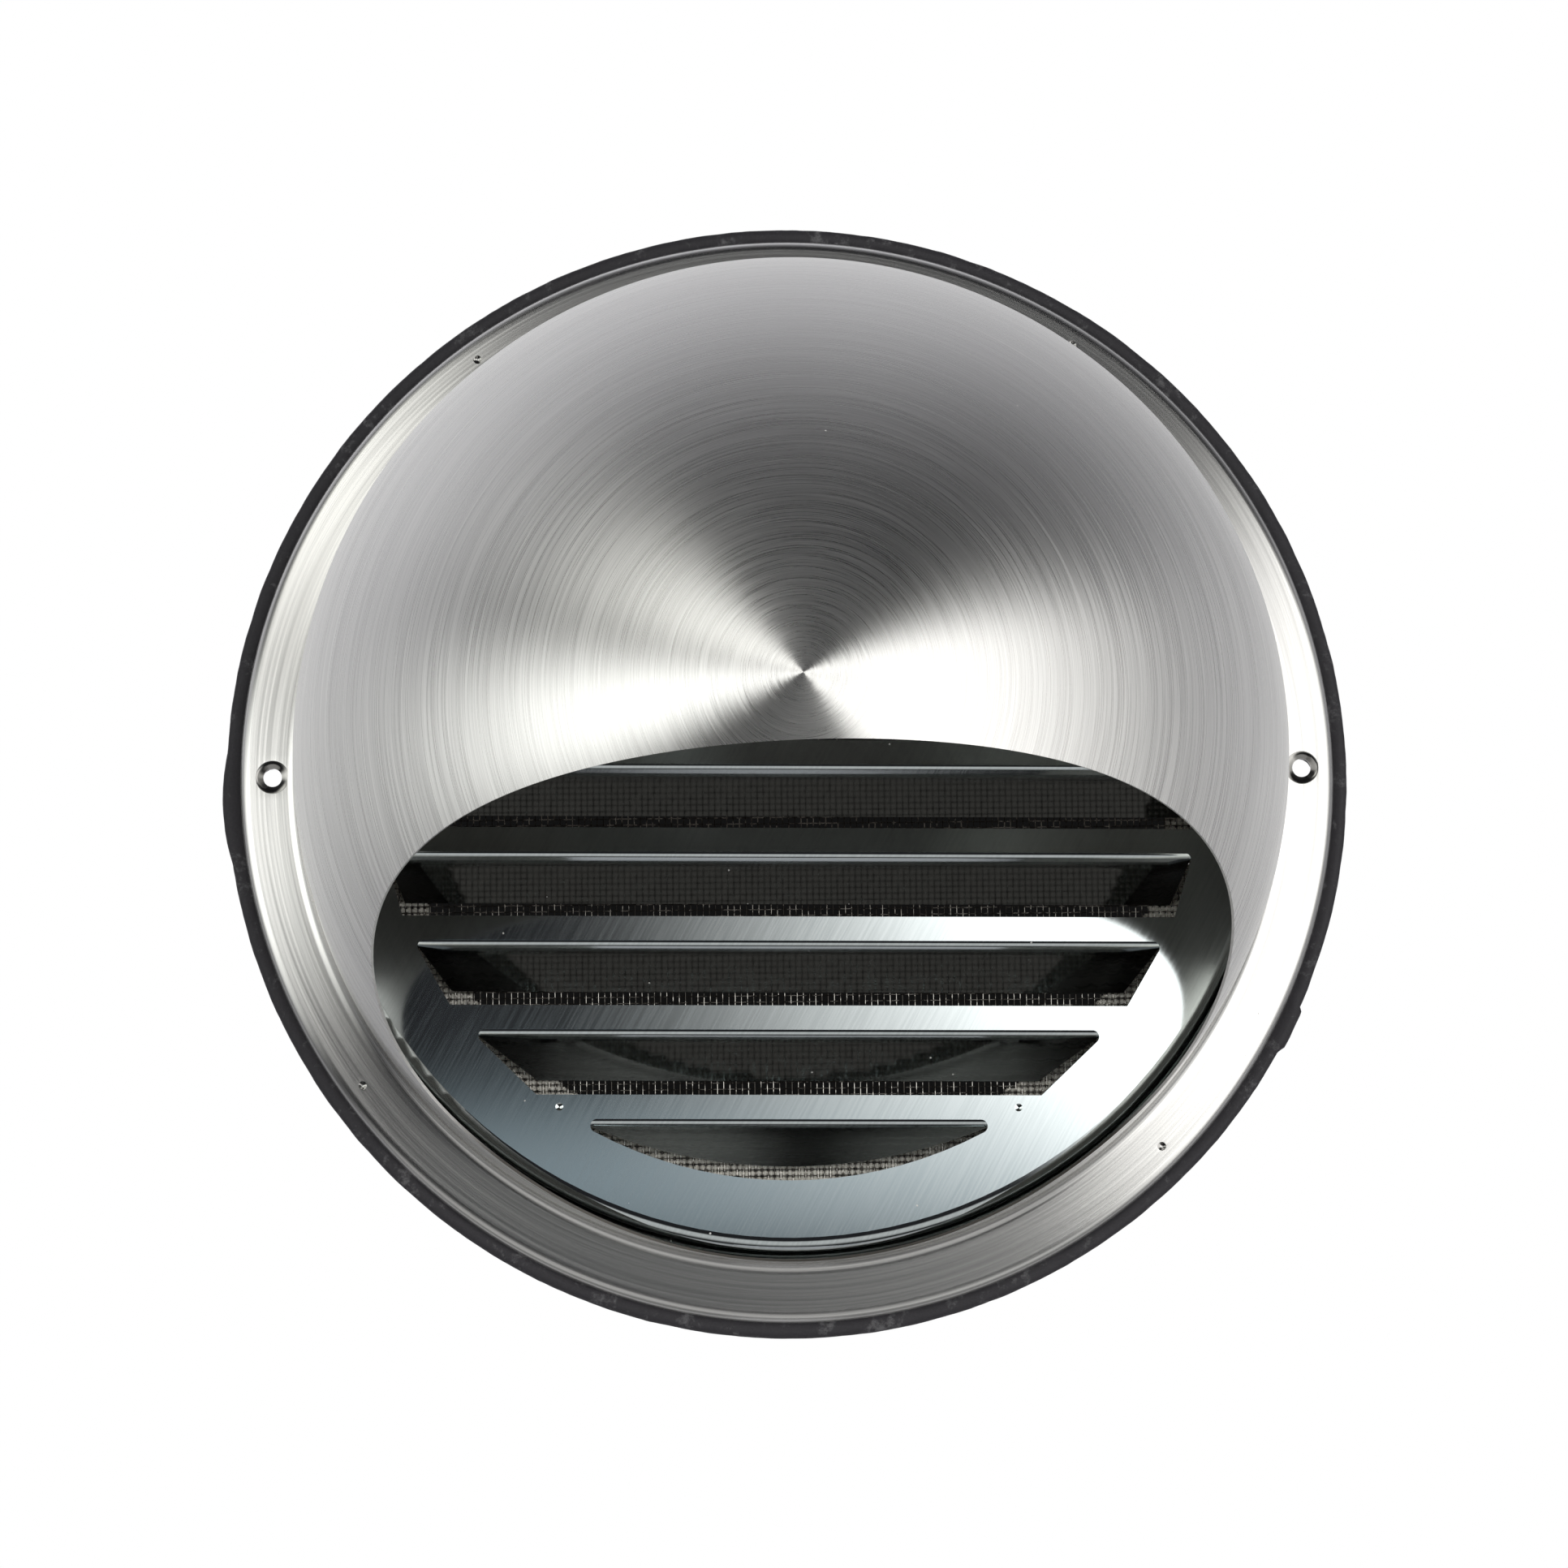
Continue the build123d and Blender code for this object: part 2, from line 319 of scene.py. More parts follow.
class Skin:
    """Outer and inner points of a sheet, with faces on the outer side."""

    def __init__(self):
        self.outer, self.inner, self.faces = [], [], []
        self.facing, self.pressed = {}, set()

    def add(self, outer, inner, facing=None):
        """One point of the sheet; facing is the outward direction there, where it is known."""
        self.outer.append(outer)
        self.inner.append(inner)
        if facing:
            self.facing[len(self.outer) - 1] = facing
        return len(self.outer) - 1

    def rings(self, loop, centre, steps, closed):
        """Rings from a loop towards a centre in the flange; steps are (radius, depth, inner depth)."""
        before = loop
        for radius, depth, inner_depth in steps:
            ring = []
            for index in loop:
                away = self.outer[index] - centre
                away.y = 0
                place = centre + away.normalized() * radius
                outer = place + Vector((0, depth, 0))
                ring.append(self.add(outer, place + Vector((0, inner_depth, 0))))
            start = len(self.faces)
            self.join(before, ring)
            if radius != steps[0][0]:
                self.pressed.update(range(start, len(self.faces)))
            before = ring
        if closed:
            depth, inner_depth = closed
            tip = self.add(centre + Vector((0, depth, 0)), centre + Vector((0, inner_depth, 0)))
            for a, b in zip(before, before[1:] + before[:1]):
                self.faces.append((a, b, tip))

    def join(self, loop, ring):
        """Faces between two closed loops of as many points."""
        for i in range(len(loop)):
            j = (i + 1) % len(loop)
            self.faces.append((loop[i], loop[j], ring[j], ring[i]))

    def piece(self, name, inner_material=outside_finish, edge_material=outside_finish):
        """A closed object: outer skin, inner skin, and flat strips along open edges."""
        count = len(self.outer)
        edges = {}
        for face in self.faces:
            edges.update(dict.fromkeys(zip(face, face[1:] + face[:1])))
        open_edges = [(a, b) for a, b in edges if (b, a) not in edges]
        outer = [tuple(reversed(face)) for face in self.faces]
        inner = [tuple(count + i for i in face) for face in self.faces]
        strips = [(a, b, count + b, count + a) for a, b in open_edges]
        made = mesh_piece(name, self.outer + self.inner, outer + inner + strips)
        skins = 2 * len(self.faces)
        flags = [True] * skins + [False] * len(strips)
        made.data.polygons.foreach_set("use_smooth", flags)
        each = range(len(self.faces))
        outside = [edge_material if i in self.pressed else outside_finish for i in each]
        inside = [edge_material if i in self.pressed else inner_material for i in each]
        made.data.polygons.foreach_set("material_index", outside + inside + [edge_material] * len(strips))
        if self.facing:
            self.set_normals(made.data, skins)
        return made

    def set_normals(self, mesh, skins):
        """Known directions where there are any, else the mean of the skin's faces; strips stay flat."""
        count = len(self.outer)
        mean = [Vector() for _ in mesh.vertices]
        for face in mesh.polygons[:skins]:
            for corner in face.vertices:
                mean[corner] += face.normal * face.area
        for corner, facing in self.facing.items():
            mean[corner], mean[corner + count] = facing, -facing
        normals = []
        for face in mesh.polygons:
            for corner in face.vertices:
                normals.append(mean[corner].normalized() if face.index < skins else face.normal)
        mesh.normals_split_custom_set(normals)


def hood_rows(split, spans):
    """Distances along one meridian: cap to the mouth, then mouth to rim."""
    enter, leave = spans if spans else (split, split)
    flare_end, bend_end, flat_end, edge_end, rim_end = section_ends[1:]
    rows = fill(enter / cap_rows, enter, cap_rows - 1)
    rows += fill(leave, flare_end, foot_rows)
    rows += fill(flare_end, bend_end, bend_rows)[1:]
    rows += fill(bend_end, flat_end, flat_rows)[1:]
    rows += fill(flat_end, edge_end, edge_rows)[1:]
    return rows + [rim_end]


def round_block(grid, column, rows, half_width):
    """The loop of points round a block of the grid, in order."""
    left, right = column - half_width, column + half_width
    low, high = rows
    loop = [grid[c][low] for c in range(left, right)]
    loop += [grid[right][r] for r in range(low, high)]
    loop += [grid[c][high] for c in range(right, left, -1)]
    return loop + [grid[left][r] for r in range(high, low, -1)]


def hood_columns(skin, angles, right, left):
    """Points down every meridian. Off the mouth, the two rows at its edge are one."""
    hair = 1e-7
    touch_right, touch_left = (sum(mouth_span(limit)) / 2 for limit in (right - hair, left + hair))
    grid = []
    for angle in angles:
        crosses = left + 10 * hair < angle < right - 10 * hair
        spans = mouth_span(angle) if crosses else None
        over_top = min(1.0, max(0.0, (angle - right) / (2 * math.pi + left - right)))
        touch = touch_right + (touch_left - touch_right) * (over_top if angle > left else 1.0)
        column = []
        for distance in hood_rows(touch, spans):
            place, out = skin_at(distance)
            outer, inner = spun(place, angle), spun(place - sheet * out, angle)
            column.append(skin.add(outer, inner, spun(out, angle)))
        if not spans:
            column[cap_rows] = column[cap_rows - 1]
        grid.append(column)
    return grid


def flange_marks(angles):
    """Blocks of the grid that make way for holes and welds, as (column, rows, half width, centre)."""
    marks = []
    for places, ring, half_width, first_row in (
        (screw_angles, screw_ring, screw_columns, 0),
        (weld_angles, weld_ring, weld_columns, weld_first_row),
    ):
        for place in places:
            turn = math.radians(place)
            off = [abs(math.remainder(angle - turn, 2 * math.pi)) for angle in angles]
            rows = (flat_start + first_row, flat_start + flat_rows - 1)
            marks.append((off.index(min(off)), rows, half_width, spun(Vector((ring, flange_y)), turn)))
    return marks


def hood_faces(skin, grid, tip, marks):
    """Joins the meridians, with gaps at the mouth and at the pressed marks."""
    for c, here in enumerate(grid):
        there = grid[(c + 1) % len(grid)]
        skin.faces.append((tip, there[0], here[0]))
        for r in range(len(here) - 1):
            marked = any(n - h <= c < n + h and rows[0] <= r < rows[1] for n, rows, h, _ in marks)
            if r == cap_rows - 1 or marked:
                continue
            face = tuple(dict.fromkeys((here[r], there[r], there[r + 1], here[r + 1])))
            if len(face) > 2:
                skin.faces.append(face)


def make_hood():
    """The spun hood as a fine sheet, with its bowed mouth, dimpled screw holes and weld dents."""
    right, left = mouth_limits()
    angles = hood_angles(right, left)
    skin = Skin()
    pole, out = skin_at(0)
    tip = skin.add(spun(pole, 0), spun(pole - sheet * out, 0), spun(out, 0))
    grid = hood_columns(skin, angles, right, left)
    marks = flange_marks(angles)
    hood_faces(skin, grid, tip, marks)
    dimple = [(radius, depth, sheet + depth) for radius, depth in dimple_rings]
    dent = [(radius, depth, sheet) for radius, depth in dent_rings]
    for nearest, rows, half_width, centre in marks:
        loop = round_block(grid, nearest, rows, half_width)
        if half_width == screw_columns:
            skin.rings(loop, centre, dimple, None)
        else:
            skin.rings(loop, centre, dent, (dent_depth, sheet))
    return skin.piece("hood_sheet", inside_finish, bare_finish)


# Insect mesh: a plain weave of thin wires and a turned hem


def wire(points, faces, line, across, radius):
    """Adds a four-sided wire along a line of points; across is its level side direction."""
    lift = Vector((0, radius, 0))
    side = across * radius
    start = len(points)
    for place in line:
        points += [place + lift, place + side, place - lift, place - side]
    for i in range(len(line) - 1):
        base = start + 4 * i
        for k in range(4):
            n = (k + 1) % 4
            faces.append((base + k, base + n, base + 4 + n, base + 4 + k))
    faces.append((start + 3, start + 2, start + 1, start))
    end = start + 4 * (len(line) - 1)
    faces.append((end, end + 1, end + 2, end + 3))


def runs(line, keep):
    """Stretches of a line whose points all pass keep."""
    found, run = [], []
    for place in line + [None]:
        if place is not None and keep(place):
            run.append(place)
        elif run:
            found.append(run)
            run = []
    return [run for run in found if len(run) > 1]


def make_weave(name, along, across, shift):
    """All wires that run one way, over and under the others, with the folded edge as a second layer."""
    field = mesh_high.x - hem_sheet / 2
    count = int(field / wire_pitch)
    points, faces = [], []
    layers = ((0.0, 0.0, 0.0, wire_radius), (0.5, fold_depth, fold_radius, fold_wire_radius))
    for offset, depth, from_radius, radius in layers:
        for i in range(-count - 1, count + 1):
            aside = across * ((i + offset) * wire_pitch)
            if aside.length > field:
                continue
            steps = int(math.sqrt(field**2 - aside.length_squared) / wire_pitch)
            line = []
            for k in range(-steps, steps + 1):
                wave = wire_wave if (i + k + shift) % 2 else -wire_wave
                level = Vector((0, weave_y + depth + wave, 0))
                line.append(aside + along * ((k + offset) * wire_pitch) + level)
            for run in runs(line, lambda place: from_radius <= math.hypot(place.x, place.z) <= field):
                wire(points, faces, run, across, radius)
    return mesh_piece(name, points, faces)


def spin(name, profile, count):
    """A closed profile of (radius, y) points, turned about the axis."""
    points, faces = [], []
    size = len(profile)
    for i in range(count):
        turn = 2 * math.pi * i / count
        points += [Vector((r * math.cos(turn), y, r * math.sin(turn))) for r, y in profile]
    for i in range(count):
        j = (i + 1) % count
        for k in range(size):
            n = (k + 1) % size
            faces.append((i * size + k, i * size + n, j * size + n, j * size + k))
    return mesh_piece(name, points, faces)


def make_hem():
    """The mesh's turned edge: a thin band with rounded lips."""
    outer, inner = mesh_high.x, mesh_high.x - hem_sheet
    front, back = mesh_low.y + hem_set_back, mesh_high.y
    lip = hem_sheet / 3
    profile = [
        (inner + lip, front), (outer - lip, front), (outer, front + lip), (outer, back - lip),
        (outer - lip, back), (inner + lip, back), (inner, back - lip), (inner, front + lip),
    ]
    return spin("mesh_hem", profile, 240)


# Foam gasket

gasket_bore = 0.0998
foam_round = 0.0005
gasket_radius = flange_radius + 0.0035
gasket_step_radius = flange_radius - edge_bend - 0.0005
bulge_radius = 0.05
bulge_height = 0.001
bulge_angle = math.radians(183)
step_height = 0.0008
step_width = 0.011
step_angle = math.radians(-27.7)
step_ramp = 0.0009
edge_rough = 0.00012
swell_mean = 0.00025
swell_change = 0.0002
foam_columns = 900
screw_way_radius = 0.0034
screw_way_rows = (3, 7)


def foam_outline(angle):
    """Outer radius of the gasket, with its bulge and its step."""
    radius = gasket_radius
    centre = gasket_radius + bulge_height - bulge_radius
    off = math.remainder(angle - bulge_angle, 2 * math.pi)
    if abs(centre * math.sin(off)) < bulge_radius and abs(off) < math.pi / 2:
        reach = centre * math.cos(off) + math.sqrt(bulge_radius**2 - (centre * math.sin(off)) ** 2)
        radius = max(radius, reach)
    along = abs(gasket_radius * math.remainder(angle - step_angle, 2 * math.pi))
    rise = min(1.0, max(0.0, (step_width / 2 - along) / step_ramp))
    return max(radius, gasket_radius + step_height * rise)


def gasket_rows(angle):
    """Front and back points of the foam from bore to outer edge, as (radius, y, back radius, back y)."""
    way = Vector((math.cos(angle), 0, math.sin(angle)))
    rough = noise.noise(way * 60) * 0.5 + noise.noise(way * 19 + Vector((3, 1, 7)))
    edge = foam_outline(angle) - edge_rough * (1.5 + rough)
    swell = swell_mean + swell_change * noise.noise(way * 31 + Vector((9, 4, 2)))
    rim_clear = flange_radius + 0.0002
    middle = (rim_clear + edge) / 2
    crown = rim_y - swell
    rows = [(gasket_bore, gasket_front + foam_round, gasket_bore, -0.0004)]
    flats = [gasket_bore + foam_round, gasket_bore + 0.006]
    flats += fill(screw_ring - 0.004, screw_ring + 0.0038, 4)
    rows += [(radius, gasket_front, radius, 0.0) for radius in flats]
    rows += [
        (gasket_step_radius, gasket_front + 0.0003, gasket_step_radius, 0.0),
        (gasket_step_radius + 0.0002, rim_y, gasket_step_radius + 0.0002, 0.0),
        (rim_clear, rim_y, rim_clear, 0.0),
        (rim_clear + 0.0003, crown, rim_clear + 0.0003, 0.0),
        (middle, crown - 0.0001, middle, 0.0),
        (edge - 0.0005, crown + 0.0001, edge - 0.0012, 0.0),
        (edge - 0.0001, rim_y + 0.0006, edge - 0.0007, -0.0001),
        (edge, rim_y + 0.0017, edge - 0.0002, -0.0008),
    ]
    return rows


def make_gasket():
    """Foam ring: holed for the screws, slightly lumpy outside, squeezed under the hood's rim."""
    skin = Skin()
    angles = [2 * math.pi * i / foam_columns - math.pi / 2 for i in range(foam_columns)]
    grid = []
    for angle in angles:
        column = []
        for radius, y, back_radius, back_y in gasket_rows(angle):
            front, back = Vector((radius, y)), Vector((back_radius, back_y))
            column.append(skin.add(spun(front, angle), spun(back, angle)))
        grid.append(column)
    nearest = [round((place / 360 + 0.25) * foam_columns) for place in screw_angles]
    low, high = screw_way_rows
    for c, here in enumerate(grid):
        there = grid[(c + 1) % foam_columns]
        holed = any(n - screw_columns <= c < n + screw_columns for n in nearest)
        for r in range(len(here) - 1):
            if not (holed and low <= r < high):
                skin.faces.append((here[r], there[r], there[r + 1], here[r + 1]))
    depth = -gasket_front
    steps = [(screw_way_radius, 0, depth), (screw_way_radius - 0.0004, 0.0001, depth)]
    for n in nearest:
        centre = spun(Vector((screw_ring, gasket_front)), angles[n])
        skin.rings(round_block(grid, n, screw_way_rows, screw_columns), centre, steps, None)
    return skin.piece("gasket_foam")


# Node helpers


def add_node(tree, kind, **settings):
    """A new node with its settings."""
    made = tree.nodes.new(kind)
    for name, value in settings.items():
        setattr(made, name, value)
    return made


def feed(tree, socket, value):
    """Sets a socket to a number, a vector or another socket."""
    if isinstance(value, bpy.types.NodeSocket):
        tree.links.new(value, socket)
    else:
        socket.default_value = value


def math_node(tree, operation, *values):
    """The result of a Math node."""
    made = add_node(tree, "ShaderNodeMath", operation=operation)
    for socket, value in zip(made.inputs, values):
        feed(tree, socket, value)
    return made.outputs[0]


def ramp(tree, value, low, high, start=0.0, end=1.0):
    """Smooth step of a value from low to high."""
    made = add_node(tree, "ShaderNodeMapRange", interpolation_type="SMOOTHSTEP")
    for socket, given in zip(made.inputs, (value, low, high, start, end)):
        feed(tree, socket, given)
    return made.outputs[0]


def blend_colour(tree, share, first, second):
    """The first colour at share zero, the second at one."""
    made = add_node(tree, "ShaderNodeMix", data_type="RGBA")
    for socket, given in ((made.inputs[0], share), (made.inputs[6], first), (made.inputs[7], second)):
        feed(tree, socket, given)
    return made.outputs[2]


def noise_of(tree, vector, scale, detail=2.0, roughness=0.5):
    """Soft random values over space."""
    made = add_node(tree, "ShaderNodeTexNoise")
    feed(tree, made.inputs["Vector"], vector)
    feed(tree, made.inputs["Scale"], scale)
    feed(tree, made.inputs["Detail"], detail)
    feed(tree, made.inputs["Roughness"], roughness)
    return made.outputs["Fac"]


def new_group(name, inputs, outputs):
    """A shader node group with named value sockets."""
    tree = bpy.data.node_groups.new(name, "ShaderNodeTree")
    for label, value in inputs.items():
        socket = tree.interface.new_socket(label, in_out="INPUT", socket_type="NodeSocketFloat")
        socket.default_value = value
    for label in outputs:
        tree.interface.new_socket(label, in_out="OUTPUT", socket_type="NodeSocketFloat")
    source = tree.nodes.new("NodeGroupInput")
    sink = tree.nodes.new("NodeGroupOutput")
    return tree, source.outputs, sink.inputs


def place_group(tree, group, **values):
    """A group in a material, with its own values; an underscore stands for a space."""
    made = add_node(tree, "ShaderNodeGroup", node_tree=group)
    for label, value in values.items():
        feed(tree, made.inputs[label.replace("_", " ")], value)
    return made.outputs


def object_place(tree):
    """Object coordinates."""
    return add_node(tree, "ShaderNodeTexCoord").outputs["Object"]


def object_axes(tree):
    """Object coordinates as three values."""
    parts = add_node(tree, "ShaderNodeSeparateXYZ")
    feed(tree, parts.inputs[0], object_place(tree))
    return parts.outputs


def axis_radius(tree, x, z):
    """Distance from the duct's axis."""
    squares = math_node(tree, "ADD", math_node(tree, "MULTIPLY", x, x), math_node(tree, "MULTIPLY", z, z))
    return math_node(tree, "SQRT", squares)


def ring_noise(tree, centre_y, rings, arc, detail):
    """Noise drawn out along circles about the duct's axis.

    Rings counts how often it changes per radian off the pole, and per flange_share metres of radius.
    """
    x, y, z = object_axes(tree)
    radius = math_node(tree, "MAXIMUM", axis_radius(tree, x, z), 1e-6)
    polar = math_node(tree, "ARCTAN2", radius, math_node(tree, "SUBTRACT", centre_y, y))
    place = add_node(tree, "ShaderNodeCombineXYZ")
    for socket, side in ((place.inputs[0], x), (place.inputs[1], z)):
        feed(tree, socket, math_node(tree, "MULTIPLY", math_node(tree, "DIVIDE", side, radius), arc))
    turn = math_node(tree, "ADD", polar, math_node(tree, "DIVIDE", radius, flange_share))
    feed(tree, place.inputs[2], math_node(tree, "MULTIPLY", turn, rings))
    return noise_of(tree, place.outputs[0], 1.0, detail, 0.6)


def spun_scratches():
    """Scratches on circles about the duct's axis, as left by a polishing wheel on a spun part."""
    tree, given, made = new_group(
        "spun_scratches", {"Centre Y": 0.0, "Rings": 900.0, "Arc": 4.0}, ("Fine", "Broad")
    )
    broad_rings = math_node(tree, "MULTIPLY", given["Rings"], 0.12)
    broad_arc = math_node(tree, "MULTIPLY", given["Arc"], 0.5)
    feed(tree, made["Fine"], ring_noise(tree, given["Centre Y"], given["Rings"], given["Arc"], 3.0))
    feed(tree, made["Broad"], ring_noise(tree, given["Centre Y"], broad_rings, broad_arc, 2.0))
    return tree


def straight_grain():
    """Fine straight scratches, slanted from the upright."""
    tree, given, made = new_group(
        "straight_grain", {"Slant": 0.1, "Across": 3000.0, "Along": 60.0}, ("Fine",)
    )
    x, y, z = object_axes(tree)
    lean = math_node(tree, "MULTIPLY", z, given["Slant"])
    across = math_node(tree, "SUBTRACT", x, lean)
    place = add_node(tree, "ShaderNodeCombineXYZ")
    feed(tree, place.inputs[0], math_node(tree, "MULTIPLY", across, given["Across"]))
    feed(tree, place.inputs[1], math_node(tree, "MULTIPLY", y, given["Along"]))
    feed(tree, place.inputs[2], math_node(tree, "MULTIPLY", z, given["Along"]))
    feed(tree, made["Fine"], noise_of(tree, place.outputs[0], 1.0, 3.0, 0.6))
    return tree


def dust_specks():
    """Small pale specks, thinly strewn."""
    tree, given, made = new_group("dust_specks", {"Spacing": 250.0, "Size": 0.06}, ("Mask",))
    cells = add_node(tree, "ShaderNodeTexVoronoi")
    feed(tree, cells.inputs["Vector"], object_place(tree))
    feed(tree, cells.inputs["Scale"], given["Spacing"])
    lucky = add_node(tree, "ShaderNodeSeparateColor")
    feed(tree, lucky.inputs[0], cells.outputs["Color"])
    near = math_node(tree, "LESS_THAN", cells.outputs["Distance"], given["Size"])
    chosen = math_node(tree, "GREATER_THAN", lucky.outputs[0], 0.8)
    feed(tree, made["Mask"], math_node(tree, "MULTIPLY", near, chosen))
    return tree


SCRATCHES = spun_scratches()
GRAIN = straight_grain()
DUST = dust_specks()


def new_material(name):
    """A material with its nodes and its shader."""
    material = bpy.data.materials.new(name)
    material.use_nodes = True
    tree = material.node_tree
    shader = tree.nodes["Principled BSDF"]
    return material, tree, shader


def bump(tree, shader, height, strength, distance):
    """Raises the surface by a height value."""
    made = add_node(tree, "ShaderNodeBump")
    feed(tree, made.inputs["Strength"], strength)
    feed(tree, made.inputs["Distance"], distance)
    feed(tree, made.inputs["Height"], height)
    feed(tree, shader.inputs["Normal"], made.outputs["Normal"])


def spun_steel():
    """Hood: bright stainless, brushed in circles, smoother on the flange.

    Each scratch leans a little from its circle, which breaks up the fan of light on the dome.
    """
    material, tree, shader = new_material("spun_steel")
    marks = place_group(tree, SCRATCHES, Centre_Y=dome_centre_y, Rings=250.0, Arc=1.2)
    dust = place_group(tree, DUST, Spacing=170.0, Size=0.032)
    shade = math_node(tree, "ADD", math_node(tree, "MULTIPLY", marks["Fine"], 0.85),
                      math_node(tree, "MULTIPLY", marks["Broad"], 0.15))
    tone = blend_colour(tree, ramp(tree, shade, 0.3, 0.7), (0.57, 0.565, 0.555, 1), (0.8, 0.795, 0.78, 1))
    feed(tree, shader.inputs["Base Color"], blend_colour(tree, dust["Mask"], tone, (0.8, 0.78, 0.74, 1)))
    feed(tree, shader.inputs["Metallic"], math_node(tree, "SUBTRACT", 1.0, dust["Mask"]))
    smoother = ramp(tree, object_axes(tree)["Y"], flange_y - 0.006, flange_y - 0.003, 1.0, 0.7)
    dull = ramp(tree, shade, 0.2, 0.8, 0.25, 0.33)
    feed(tree, shader.inputs["Roughness"], math_node(tree, "MULTIPLY", dull, smoother))
    shader.inputs["Anisotropic"].default_value = 1.0
    shader.inputs["Anisotropic Rotation"].default_value = 0.25
    lean = ramp(tree, ring_noise(tree, dome_centre_y, 220.0, 1.2, 2.0), 0.2, 0.8, -0.09, 0.09)
    sway = add_node(tree, "ShaderNodeVectorRotate", rotation_type="AXIS_ANGLE")
    circle = add_node(tree, "ShaderNodeTangent", direction_type="RADIAL", axis="Y")
    feed(tree, sway.inputs["Vector"], circle.outputs[0])
    feed(tree, sway.inputs["Axis"], add_node(tree, "ShaderNodeNewGeometry").outputs["Normal"])
    feed(tree, sway.inputs["Angle"], lean)
    feed(tree, shader.inputs["Tangent"], sway.outputs[0])
    bump(tree, shader, marks["Fine"], 0.15, 0.00003)
    return material


def cut_edge():
    """Bare places of the sheet: bright sheared mouth edge, painted near-black as shade at the lip, and
    pressed dimples and dents painted dark as shade.
    """
    material, tree, shader = new_material("cut_edge")
    mark = noise_of(tree, object_place(tree), 900.0)
    y = object_axes(tree)["Y"]
    sheared = ramp(tree, y, flange_y - 0.0005, flange_y - 0.001)
    # The lip's cut edge is painted near-black as shade.
    lip_painted_shade = math_node(tree, "MULTIPLY", sheared, ramp(tree, y, flange_y - 0.035, flange_y - 0.02))
    edge_tone = blend_colour(tree, mark, (0.6, 0.59, 0.57, 1), (0.85, 0.84, 0.82, 1))
    # Bare places at the flange, the pressed dimples and dents among them, are painted dark as shade.
    tone = blend_colour(tree, sheared, (0.3, 0.295, 0.285, 1), edge_tone)
    feed(tree, shader.inputs["Base Color"], blend_colour(tree, lip_painted_shade, tone, (0.07, 0.066, 0.06, 1)))
    shader.inputs["Metallic"].default_value = 1.0
    feed(tree, shader.inputs["Roughness"], ramp(tree, sheared, 0.0, 1.0, 0.14, 0.45))
    return material


def raw_inside():
    """Inside of the hood: as spun, not polished."""
    material, tree, shader = new_material("raw_inside")
    marks = place_group(tree, SCRATCHES, Centre_Y=dome_centre_y, Rings=200.0, Arc=1.0)
    tone = blend_colour(tree, marks["Broad"], (0.57, 0.555, 0.525, 1), (0.71, 0.695, 0.66, 1))
    feed(tree, shader.inputs["Base Color"], tone)
    shader.inputs["Metallic"].default_value = 1.0
    feed(tree, shader.inputs["Roughness"], ramp(tree, marks["Fine"], 0.2, 0.8, 0.25, 0.35))
    return material


def pressed_steel():
    """Louvre plate: bright, smooth rolled sheet with faint slanted scratches."""
    material, tree, shader = new_material("pressed_steel")
    grain = place_group(tree, GRAIN, Slant=0.55, Across=1500.0, Along=60.0)
    dust = place_group(tree, DUST, Spacing=220.0, Size=0.05)
    streak = ramp(tree, grain["Fine"], 0.3, 0.7)
    tone = blend_colour(tree, streak, (0.555, 0.6, 0.61, 1), (0.625, 0.67, 0.68, 1))
    feed(tree, shader.inputs["Base Color"], blend_colour(tree, dust["Mask"], tone, (0.8, 0.8, 0.78, 1)))
    feed(tree, shader.inputs["Metallic"], math_node(tree, "SUBTRACT", 1.0, dust["Mask"]))
    feed(tree, shader.inputs["Roughness"], ramp(tree, grain["Fine"], 0.2, 0.8, 0.055, 0.085))
    return material


def tube_steel():
    """Spigot: rolled tube, duller, scratched round its girth, painted near-black as shade at the neck behind
    the plate.
    """
    material, tree, shader = new_material("tube_steel")
    marks = place_group(tree, SCRATCHES, Centre_Y=0.4, Rings=2500.0, Arc=2.0)
    tone = blend_colour(tree, marks["Broad"], (0.48, 0.48, 0.47, 1), (0.62, 0.62, 0.61, 1))
    # The neck's front part behind the plate is painted near-black as shade.
    free_of_painted_shade = ramp(tree, object_axes(tree)["Y"], -0.006, -0.003)
    feed(tree, shader.inputs["Base Color"], blend_colour(tree, free_of_painted_shade, (0.09, 0.084, 0.078, 1), tone))
    shader.inputs["Metallic"].default_value = 1.0
    feed(tree, shader.inputs["Roughness"], ramp(tree, marks["Fine"], 0.2, 0.8, 0.24, 0.32))
    bump(tree, shader, marks["Fine"], 0.1, 0.00002)
    return material


def mesh_wire():
    """Woven stainless wire: painted dark as shade with random spots painted bright as glints, and painted
    pale as lit on the outer folded edge.
    """
    material, tree, shader = new_material("mesh_wire")
    x, y, z = object_axes(tree)
    # Painted light: the folded wires near the edge are pale and not metal, as if lit.
    folded = ramp(tree, y, weave_y + 0.00028, weave_y + 0.00034)
    outside = ramp(tree, axis_radius(tree, x, z), 0.084, painted_lit_fold_radius)
    painted_lit_fold = math_node(tree, "MULTIPLY", folded, outside)
    # Random stretches of wire are painted bright as glints, the rest dark as shade.
    mark = noise_of(tree, object_place(tree), 500.0)
    tone = blend_colour(tree, ramp(tree, mark, 0.46, 0.6), (0.07, 0.066, 0.06, 1), (0.68, 0.66, 0.62, 1))
    feed(tree, shader.inputs["Base Color"], blend_colour(tree, painted_lit_fold, tone, (0.95, 0.92, 0.85, 1)))
    feed(tree, shader.inputs["Metallic"], math_node(tree, "SUBTRACT", 1.0, painted_lit_fold))
    feed(tree, shader.inputs["Roughness"], ramp(tree, mark, 0.3, 0.7, 0.12, 0.2))
    return material


